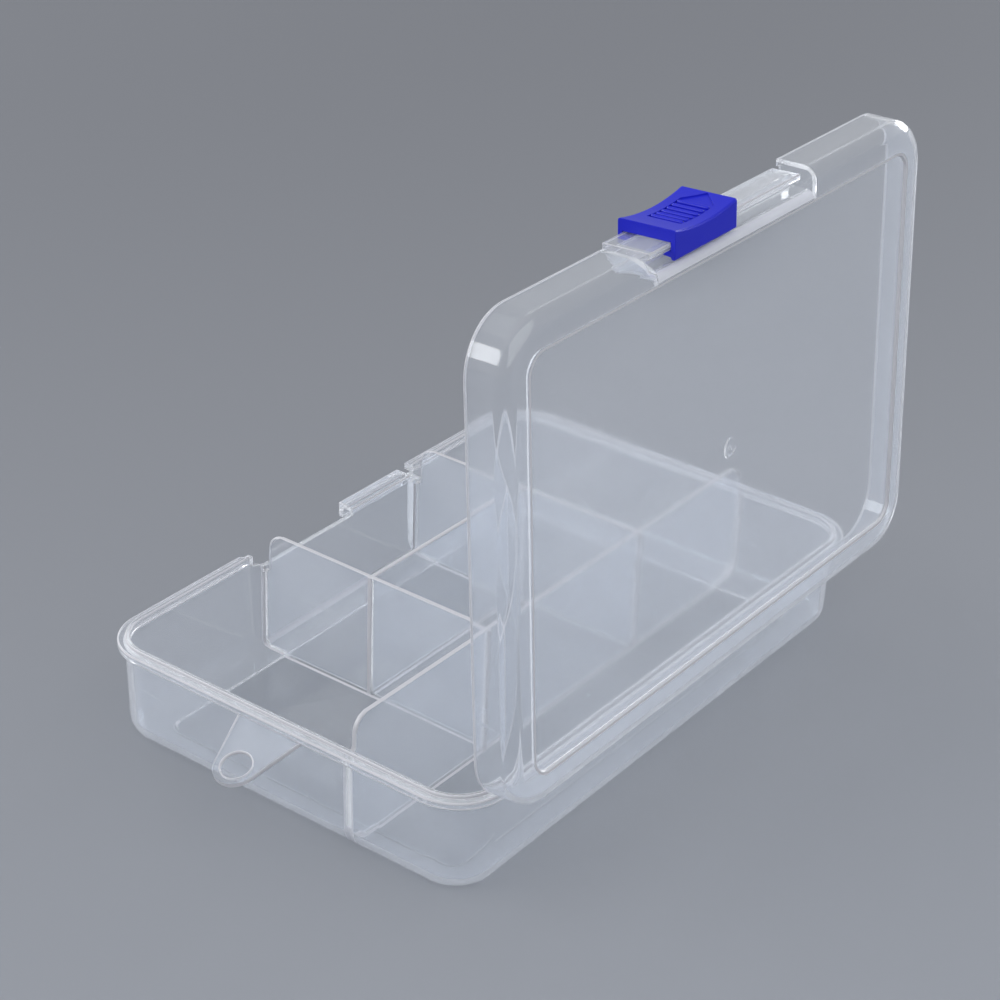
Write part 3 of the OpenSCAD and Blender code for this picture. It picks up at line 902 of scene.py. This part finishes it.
def build_tray():
    tray = swept(tray_outside(), CORE_X, CORE_Y)
    combine(tray, combine(swept(tray_hollow(), CORE_X, CORE_Y), tray_recess(WALL)))
    hinge_land = block((-CORE_X, FLANGE_Y - 1, FLANGE_Z + HAIR), (CORE_X, LAND_Y, LEDGE_Z - HAIR), 0.2)
    join(tray, foot_plate((0, FOOT + 0.1), FOOT_SLOPE), hinge_land)
    combine(tray, foot_plate((FLOOR, BAND_Z + 0.2), FOOT_SLOPE_IN))
    combine(tray, tray_recess(0))
    combine(tray, block((NOTCH_X0 - NOTCH_PAST, -LAND_Y, NOTCH_Z),
                        (NOTCH_X1 + NOTCH_PAST, NOTCH_IN_Y + OVER, LIP_TOP + 1)))
    join(tray, plate(long_outline(), "X", LONG_Y), plate(cross_outline(), "Y", NEAR_X),
         plate(cross_outline(), "Y", FAR_X), plate(short_outline(), "X", SHORT_Y))
    short_seam = [Vector((FAR_X, FLOOR)), Vector((NEAR_X, FLOOR))]
    join(tray, seam(long_seam(), "X", LONG_Y), seam(short_seam, "X", SHORT_Y))
    for x in (NEAR_X, FAR_X):
        join(tray, seam(cross_seam(), "Y", x), seam_column(x, LONG_Y), seam_column(x, SHORT_Y, x == NEAR_X))
    join(tray, hang_tab(), latch_catch())
    return finish_moulding(tray, "tray_moulding")


tray_moulding = build_tray()
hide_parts("tray_shell", "long_divider", "near_divider", "far_divider", "short_divider",
            "hang_tab", "latch_catch")
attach(tray_moulding, "tray")

# %% [markdown]
# ## The lid
#
# The lid is drawn shut, where its sides are upright and its panel is level, and turned open about the
# hinge line at the end. Its panel lies a little below its border, so that the foot of the next box sits in
# it when boxes are stacked. A shallow ledge runs round the panel, all in the rim plastic, which paints the
# white line of light that leaves the wall there.

# %% Sections of the lid
LID_T = 1.1
LID_R = 11.0
LID_EDGE_R = 3.0
LID_LEAN = 0.25
LID_TOP = LID_RIM_Z + 8.92
PANEL_STEP = 0.5
BORDER_INSET = 7.3
BORDER_R = 3.8
PANEL_SLOPE = (0, 0.35)
PANEL_SLOPE_IN = (0.3, 1.2)
PANEL_LEDGE = (0.8, 0.86)
LID_Y0 = -FLANGE_Y - 0.25
LID_HALF_Y = (LAND_Y - LID_Y0) / 2
LID_MID_Y = (LAND_Y + LID_Y0) / 2
LID_CORE_X = FLANGE_X - LID_R
LID_CORE_Y = LID_HALF_Y - LID_R
LID_RECESS_Y = NOTCH_OUT_Y + 0.55
LID_RECESS_R = 2.2
LID_NOTCH_X0 = NOTCH_X0 - 0.5
LID_JOG_X = NOTCH_X1 + 1
LIP_PLAY = 0.3


def lid_outside():
    return softened([(0, LID_RIM_Z, 0), (LID_R, LID_RIM_Z, EDGE_R), (LID_R - LID_LEAN, LID_TOP, LID_EDGE_R),
                     (0, LID_TOP, 0)], 6)


def lid_hollow():
    out = LID_R - LID_T
    mouth = [Vector((out + FLARE - FLARE * sin(a), LID_RIM_Z + FLARE - FLARE * cos(a)))
             for a in np.linspace(0, pi / 2, 5)]
    wall = softened([(out, LID_RIM_Z + FLARE, 0), (out - LID_LEAN, LID_TOP - LID_T, LID_EDGE_R - LID_T),
                     (0, LID_TOP - LID_T, 0)], 4)
    return [Vector((0, LID_RIM_Z - 1)), Vector((out + FLARE, LID_RIM_Z - 1))] + mouth + wall[1:]


def lid_recess(grow):
    y = LID_RECESS_Y + grow
    far = LID_RECESS_Y - RECESS_DEEP
    bend = LID_RECESS_Y + LID_RECESS_R
    top = LID_TOP - grow
    low = LID_RIM_Z - 2
    section = softened([(far, low, 0), (y, low, 0), (y, top, LID_RECESS_R - grow), (bend, top, 0),
                        (bend, LID_TOP + 1, 0), (far, LID_TOP + 1, 0)], 4)
    return recess(section, LID_NOTCH_X0, LID_JOG_X, y, grow, low - 1, LID_TOP + 3)


def lip_groove():
    """The space that the tray's lip needs in the lid when the lid is shut."""
    outer = CORNER_R + LIP + LIP_PLAY
    inner = CORNER_R - LIP_PLAY
    top = LIP_TOP + LIP_PLAY
    ring = [(0, LID_RIM_Z - 1), (outer, LID_RIM_Z - 1), (outer, top), (0, top)]
    core = [(0, LID_RIM_Z - 2), (inner, LID_RIM_Z - 2), (inner, LIP_TOP + 1), (0, LIP_TOP + 1)]
    return combine(swept(ring, CORE_X, CORE_Y), swept(core, CORE_X, CORE_Y))


panel_plate = partial(rounded_plate, FLANGE_X - BORDER_INSET, LID_HALF_Y - BORDER_INSET, BORDER_R, 10,
                      Vector((0, LID_MID_Y)))
print("lid", round(LID_TOP - LID_RIM_Z, 2), "high, its panel", PANEL_STEP, "below the border")

# %% Rail and injection mark
GATE_SUNK = 0.25
GATE_LEAN = 0.3
GATE_TURN = 0.6
GATE_PROFILE = [(0.0, 0.0, 0), (2.3, 0.0, 0), (2.3, 0.30, 0.1), (1.8, 0.42, 0.1), (1.35, 0.28, 0.1),
                (0.6, 0.28, 0.1), (0.35, 0.36, 0.1), (0.0, 0.36, 0)]


def rail_part(x0, x1, z0, low):
    """The plate of the rail and the web that carries it."""
    root = LID_RECESS_Y + 0.4
    inner = [(root, low, 0)]
    if low > z0:
        inner += [(RAIL_IN_Y, low, 0.15), (RAIL_IN_Y, z0, RAIL_SOFT)]
    outline = softened(inner + [
        (RAIL_OUT_Y, z0, RAIL_SOFT), (RAIL_OUT_Y, RAIL_Z1, RAIL_SOFT), (RAIL_IN_Y, RAIL_Z1, RAIL_SOFT),
        (RAIL_IN_Y, WEB_Z1, 0.15), (root, WEB_Z1, 0)], 3)
    return prism(outline, x0, x1, "X", RAIL_END_R)


def gate_mark():
    """A low rim round a dimple, leaning to one side, where the melt entered the mould."""
    base = LID_TOP - PANEL_STEP - GATE_SUNK
    shape = bmesh.new()
    rings = []
    for turn in FULL_TURN:
        lean = 1 + GATE_LEAN * cos(turn - GATE_TURN)
        rings.append([shape.verts.new((p.x * cos(turn), p.x * sin(turn) + LID_MID_Y, base + p.y * lean))
                      for p in softened(GATE_PROFILE, 3)])
    wall_rings(shape, rings, capped=False)
    bmesh.ops.remove_doubles(shape, verts=shape.verts, dist=10 * MERGE)
    return as_object(shape, "set")


print("injection mark", 2 * GATE_PROFILE[1][0], "mm across")

# %% Build the lid moulding
JOIN_X = CATCH_X1 + 0.5
RAIL_X0 = NOTCH_X0 + 1.5
RAIL_X1 = NOTCH_X1 + 0.5
OPENED = (Matrix.Translation(hinge_at) @ Matrix.Rotation(radians(-open_angle), 4, "X")
          @ Matrix.Translation(-hinge_at))


def build_lid():
    lid = swept(lid_outside(), LID_CORE_X, LID_CORE_Y, LID_MID_Y)
    hollow = combine(swept(lid_hollow(), LID_CORE_X, LID_CORE_Y, LID_MID_Y), lid_recess(LID_T))
    combine(hollow, panel_plate((LID_TOP - LID_T - PANEL_STEP, LID_TOP), PANEL_SLOPE_IN))
    combine(lid, hollow)
    low_wall = block((JOIN_X, LID_RECESS_Y + HAIR, NOTCH_Z + 0.3),
                     (RAIL_X1, LID_RECESS_Y + LID_T - HAIR, LID_RIM_Z + 1), 0.15)
    join(lid, low_wall)
    combine(lid, lid_recess(0))
    combine(lid, lip_groove())
    combine(lid, panel_plate((LID_TOP - PANEL_STEP, LID_TOP + OVER), PANEL_SLOPE))
    # The ledge is all rim plastic: a painted white line where light leaves the lid's wall at the step.
    combine(lid, panel_plate((LID_TOP - OVER, LID_TOP + OVER), PANEL_LEDGE, "all"))
    join(lid, gate_mark(), rail_part(JOIN_X, RAIL_X1, RAIL_Z0, WEB_Z0),
         rail_part(RAIL_X0, JOIN_X + 0.5, SPLIT_Z, SPLIT_Z))
    return finish_moulding(lid, "lid_moulding", OPENED)


lid_moulding = build_lid()
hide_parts("lid_shell", "lid_rail")
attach(lid_moulding, "lid")

# %% [markdown]
# ## The film hinge
#
# Lid and tray hang together by a strip a third of a millimetre thick, with fine ridges along it that the
# mould leaves. It bends every time the box opens, so it can't ride on one body. Here it is drawn bent across
# the joint as the lid stands open, its lower edge at the tray and its upper edge at the lid, and it is put on
# no body. Its shape follows a rule, a curve with ridges at an even pitch and the same section all along, so a
# node tree draws the section and extrudes it.

# %% Node tree of the film
FILM_T = 0.34
FILM_RIDGES = 4
FILM_RIDGE_HEIGHT = 0.11
FILM_STEPS = 32
BEND_STEPS = 24
CREST_LIMIT = 0.6
FILM_MERGE = 0.0005


def film_tree():
    tree, given, out = new_tree(
        "hinge_film", "GeometryNodeTree",
        {"Lower Edge": "Vector", "Bend": "Vector", "Upper Edge": "Vector", "Length": "Float",
         "Thickness": "Float", "Ridges": "Int", "Ridge Height": "Float", "Steps": "Int",
         "Plastic": "Material", "Crest Plastic": "Material"}, {"Geometry": "Geometry"})
    add, calc = partial(add_node, tree), partial(math_node, tree)

    # A ring of points that runs up the outer face of the section and back down the inner one
    steps = given["Steps"]
    ring = add("GeometryNodeMeshCircle", {"Vertices": calc("MULTIPLY", calc("ADD", steps, 1.0), 2.0)},
               fill_type="NGON")
    index = add("GeometryNodeInputIndex")
    turn = calc("ADD", steps, 0.5)
    from_turn = calc("ABSOLUTE", calc("SUBTRACT", index, turn))
    along = calc("DIVIDE", calc("SUBTRACT", from_turn, 0.5), steps)
    outer = calc("LESS_THAN", index, turn)

    # The middle line of the section, and the ridges on its outer face
    bent = add("GeometryNodeCurveQuadraticBezier",
               {"Resolution": BEND_STEPS, "Start": given["Lower Edge"], "Middle": given["Bend"],
                "End": given["Upper Edge"]})
    sample = add("GeometryNodeSampleCurve", {"Curves": bent, "Factor": along}).outputs
    wave = calc("COSINE", calc("MULTIPLY", calc("MULTIPLY", along, given["Ridges"]), 2 * pi))
    crest = calc("MULTIPLY", calc("MULTIPLY_ADD", wave, -0.5, 0.5), outer)
    side = add("ShaderNodeVectorMath", {0: sample["Tangent"], 1: (1, 0, 0)}, operation="CROSS_PRODUCT")
    half = calc("MULTIPLY", given["Thickness"], calc("SUBTRACT", outer, 0.5))
    away = calc("ADD", half, calc("MULTIPLY", crest, given["Ridge Height"]))
    offset = add("ShaderNodeVectorMath", {0: side, "Scale": away}, operation="SCALE")
    spot = add("ShaderNodeVectorMath", {0: sample["Position"], 1: offset}, operation="ADD")
    start = add("ShaderNodeCombineXYZ", {"X": calc("MULTIPLY", given["Length"], -0.5)})
    drawn = add("GeometryNodeSetPosition", {"Geometry": ring, "Position": spot, "Offset": start})
    marked = add("GeometryNodeStoreNamedAttribute", {"Geometry": drawn, "Name": "crest", "Value": crest})

    # The section drawn along the hinge, and closed at its near end by its own copy, turned over
    length = add("ShaderNodeCombineXYZ", {"X": given["Length"]})
    pulled = add("GeometryNodeExtrudeMesh", {"Mesh": marked, "Offset": length, "Individual": False})
    both = add("GeometryNodeJoinGeometry", {0: pulled})
    plug(tree, both.inputs[0], add("GeometryNodeFlipFaces", {0: marked}))
    closed = add("GeometryNodeMergeByDistance", {"Geometry": both, "Distance": FILM_MERGE})
    real = add("GeometryNodeRealizeInstances", {0: closed})
    painted = add("GeometryNodeSetMaterial", {"Geometry": real, "Material": given["Plastic"]})
    # The crests of the ridges get the rim plastic: painted light for the bright lines along the film.
    high = calc("GREATER_THAN", add("GeometryNodeInputNamedAttribute", {"Name": "crest"}), CREST_LIMIT)
    capped = add("GeometryNodeSetMaterial",
                 {"Geometry": painted, "Selection": high, "Material": given["Crest Plastic"]})
    plug(tree, out["Geometry"], capped)
    return tree


print("film of", FILM_T, "mm with", FILM_RIDGES, "ridges of", FILM_RIDGE_HEIGHT, "mm")

# %% Grow a mesh from a node tree
def grown(tree, values):
    """Runs a node tree on an empty object, with its inputs set by identifier, and keeps the plain mesh."""
    holder = new_object(tree.name, bpy.data.meshes.new(tree.name))
    step = holder.modifiers.new(tree.name, "NODES")
    step.node_group = tree
    for item in tree.interface.items_tree:
        if item.in_out == "INPUT":
            step[item.identifier] = values[item.name]
    plain = keep_result(holder)
    shape = bmesh.new()
    shape.from_mesh(plain)
    bmesh.ops.recalc_face_normals(shape, faces=shape.faces)
    open_edges = sum(not edge.is_manifold for edge in shape.edges)
    shape.to_mesh(plain)
    shape.free()
    if "crest" in plain.attributes:
        plain.attributes.remove(plain.attributes["crest"])
    print(tree.name, "grown by nodes:", len(plain.polygons), "faces,", open_edges, "open edges")
    return holder


# %% Build the film
def build_film():
    upper = OPENED @ Vector((0, LAND_Y - 0.1, LID_RIM_Z + 0.2))
    return finish_moulding(grown(film_tree(), {
        "Lower Edge": (0, LAND_Y - 0.3, LEDGE_Z - 0.35), "Bend": (0, hinge_at.y + 0.35, hinge_at.z - 0.3),
        "Upper Edge": tuple(upper), "Length": 2 * CORE_X, "Thickness": FILM_T, "Ridges": FILM_RIDGES,
        "Ridge Height": FILM_RIDGE_HEIGHT, "Steps": FILM_STEPS, "Plastic": CLEAR, "Crest Plastic": RIM,
    }), "hinge_film_strip")


hinge_film_strip = build_film()
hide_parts("hinge_film")
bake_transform(hinge_film_strip)

# %% [markdown]
# ## The blue slider
#
# The slider is a short channel that wraps the rail. Its roof is hollowed for the thumb, and in the hollow
# lies a sunk field in the shape of an arrow that points to the locked end. The body is lofted: the same
# section at many places along the slider, with the height of its roof taken from a circle.

# %% Sizes of the slider
SLIDER_X0 = -1.3
SLIDER_X1 = 19.0
SLIDER_SIDE = 0.85
SLIDE_GAP = 0.25
SLIDER_Z0 = RAIL_Z0 - SLIDE_GAP - SLIDER_SIDE
SLIDER_Z1 = RAIL_Z1 + SLIDE_GAP + SLIDER_SIDE
HOOK_REACH = 1.75
HOOK_T = 0.9
BEAD = 0.6
ROOF_IN = RAIL_OUT_Y - SLIDE_GAP
ROOF_OUT = ROOF_IN - 2.3
ROOF_R = 0.55
THUMB_DIP = 1.15
SLIDER_MID_X = (SLIDER_X0 + SLIDER_X1) / 2
SLIDER_MID_Z = (SLIDER_Z0 + SLIDER_Z1) / 2
SLIDER_HALF = (SLIDER_X1 - SLIDER_X0) / 2
DIP_R = (SLIDER_HALF ** 2 + THUMB_DIP ** 2) / (2 * THUMB_DIP)
DIP_Y = ROOF_OUT + THUMB_DIP - DIP_R
FIELD_SHIFT = 0.8
FIELD_X = SLIDER_MID_X - FIELD_SHIFT
FIELD_W = 7.4
FIELD_DEEP = 0.3
FIELD_TIP = 3.6
FIELD_SPAN = asin(0.24)
RIBS = 6
RIB_PITCH = 1.7
RIB_W = 0.8
RIB_SUNK = 0.16
print("thumb hollow of radius", round(DIP_R, 2), "over", 2 * SLIDER_HALF, "mm")

# %% Body of the slider
def slider_section(roof):
    hook = RAIL_IN_Y + SLIDE_GAP
    leg = hook + HOOK_T
    z0, z1 = SLIDER_Z0 + SLIDER_SIDE, SLIDER_Z1 - SLIDER_SIDE
    return softened([
        (leg, SLIDER_Z0, 0.2), (leg, z0 + HOOK_REACH, 0.2), (hook, z0 + HOOK_REACH, 0.2), (hook, z0, 0.1),
        (ROOF_IN, z0, 0.1), (ROOF_IN, z1, 0.1), (hook, z1, 0.1), (hook, z1 - HOOK_REACH, 0.2),
        (leg, z1 - HOOK_REACH, 0.2), (leg, z1, 0.1), (leg + BEAD, z1, 0.2), (leg + BEAD, SLIDER_Z1, 0.25),
        (roof, SLIDER_Z1, ROOF_R), (roof, SLIDER_Z0, ROOF_R)], 4)


def slider_body():
    shape = bmesh.new()
    rings = []
    for x in np.linspace(SLIDER_X0, SLIDER_X1, 41):
        roof = DIP_Y + sqrt(DIP_R ** 2 - (x - SLIDER_MID_X) ** 2)
        rings.append([shape.verts.new((x, p.x, p.y)) for p in slider_section(roof)])
    ends, _ = wall_rings(shape, rings)
    round_edges(shape, (edge for end in ends for edge in end.edges), 0.22)
    return as_object(shape)


def field_cutter():
    """The sunk field: an arrow outline, cut to an even depth under the thumb hollow."""
    reach = (RIBS * RIB_PITCH + RIB_W) / 2
    near, far = FIELD_X + reach, FIELD_X - reach
    half = FIELD_W / 2
    outline = softened([(near, SLIDER_MID_Z + half, 0.4), (far, SLIDER_MID_Z + half, 0.5),
                        (far - FIELD_TIP, SLIDER_MID_Z, 0.3), (far, SLIDER_MID_Z - half, 0.5),
                        (near, SLIDER_MID_Z - half, 0.4)], 3)
    deep = DIP_R + FIELD_DEEP
    curve = [(SLIDER_MID_X + deep * sin(a), DIP_Y + deep * cos(a))
             for a in np.linspace(-FIELD_SPAN, FIELD_SPAN, 40)]
    above = [(curve[-1][0], ROOF_OUT - 4), (curve[0][0], ROOF_OUT - 4)]
    return combine(prism(outline, ROOF_OUT - 1, ROOF_IN - 0.2, "Y"),
                   prism(curve + above, SLIDER_Z0, SLIDER_Z1, "Z"), "INTERSECT")


print("slider section:", len(slider_section(ROOF_OUT)), "points")

# %% [markdown]
# ### Thumb ribs with Geometry Nodes
#
# Six equal ribs lie across the field at an even pitch. That is a rule, so a node tree makes them: a row of
# points, lowered onto the circle of the hollow, with one round-ended bar on each. The bar is a line with a
# radius that falls to nothing at its ends.

# %% Node tree of the ribs
BAR_STEPS = 33
BAR_SIDES = 16
BAR_FULLNESS = 14.0


def rib_tree():
    tree, given, out = new_tree(
        "thumb_ribs", "GeometryNodeTree",
        {"Count": "Int", "Pitch": "Float", "Length": "Float", "Width": "Float", "Hollow Radius": "Float",
         "Offset": "Float", "Plastic": "Material"}, {"Geometry": "Geometry"})
    add, calc = partial(add_node, tree), partial(math_node, tree)

    # A row of points along X, centred on the field
    gaps = calc("SUBTRACT", given["Count"], 1.0)
    half_row = calc("MULTIPLY", calc("MULTIPLY", gaps, given["Pitch"]), -0.5)
    begin = add("ShaderNodeCombineXYZ", {"X": calc("SUBTRACT", half_row, given["Offset"])})
    step = add("ShaderNodeCombineXYZ", {"X": given["Pitch"]})
    row = add("GeometryNodeMeshLine", {"Count": given["Count"], "Start Location": begin, "Offset": step})

    # Lower each point onto the circle of the thumb hollow
    radius = given["Hollow Radius"]
    x = add("ShaderNodeSeparateXYZ", {0: add("GeometryNodeInputPosition")}).outputs["X"]
    under = calc("SUBTRACT", calc("MULTIPLY", radius, radius), calc("MULTIPLY", x, x))
    shift = add("ShaderNodeCombineXYZ", {"Y": calc("SUBTRACT", calc("SQRT", under), radius)})
    lower = add("GeometryNodeSetPosition", {"Geometry": row, "Offset": shift})

    # One bar: a line along Z whose radius falls off at both ends
    ends = {side: add("ShaderNodeCombineXYZ", {"Z": calc("MULTIPLY", given["Length"], sign)})
            for side, sign in (("Start", -0.5), ("End", 0.5))}
    line = add("GeometryNodeCurvePrimitiveLine", ends)
    fine = add("GeometryNodeResampleCurve", {"Curve": line, "Count": BAR_STEPS})
    along = add("GeometryNodeSplineParameter").outputs["Factor"]
    centred = calc("ABSOLUTE", calc("MULTIPLY_ADD", along, 2.0, -1.0))
    left = calc("MAXIMUM", calc("SUBTRACT", 1.0, calc("POWER", centred, BAR_FULLNESS)), 0.0001)
    thick = calc("MULTIPLY", calc("SQRT", left), calc("MULTIPLY", given["Width"], 0.5))
    sized = add("GeometryNodeSetCurveRadius", {"Curve": fine, "Radius": thick})
    profile = add("GeometryNodeCurvePrimitiveCircle", {"Resolution": BAR_SIDES, "Radius": 1.0})
    bar = add("GeometryNodeCurveToMesh", {"Curve": sized, "Profile Curve": profile, "Fill Caps": True})
    plug(tree, bar.inputs["Scale"], add("GeometryNodeInputRadius"))

    spread = add("GeometryNodeInstanceOnPoints", {"Points": lower, "Instance": bar})
    real = add("GeometryNodeRealizeInstances", {0: spread})
    painted = add("GeometryNodeSetMaterial", {"Geometry": real, "Material": given["Plastic"]})
    plug(tree, out["Geometry"], painted)
    return tree


print("thumb ribs:", RIBS, "at a pitch of", RIB_PITCH, "mm")

# %% Build the slider
def make_ribs():
    ribs = grown(rib_tree(), {
        "Count": RIBS, "Pitch": RIB_PITCH, "Length": FIELD_W - 0.2, "Width": RIB_W, "Hollow Radius": DIP_R,
        "Offset": FIELD_SHIFT, "Plastic": BLUE})
    middle = Vector((SLIDER_MID_X, ROOF_OUT + THUMB_DIP + RIB_SUNK, SLIDER_MID_Z))
    ribs.data.transform(Matrix.Translation(middle))
    return finish_moulding(ribs, "thumb_ribs", OPENED, BLUE)


latch_slider_blue = combine(slider_body(), field_cutter())
finish_moulding(latch_slider_blue, "latch_slider_blue", OPENED, BLUE)
thumb_ribs = make_ribs()
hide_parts("latch_slider")
for piece in (latch_slider_blue, thumb_ribs):
    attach(piece, "slider")
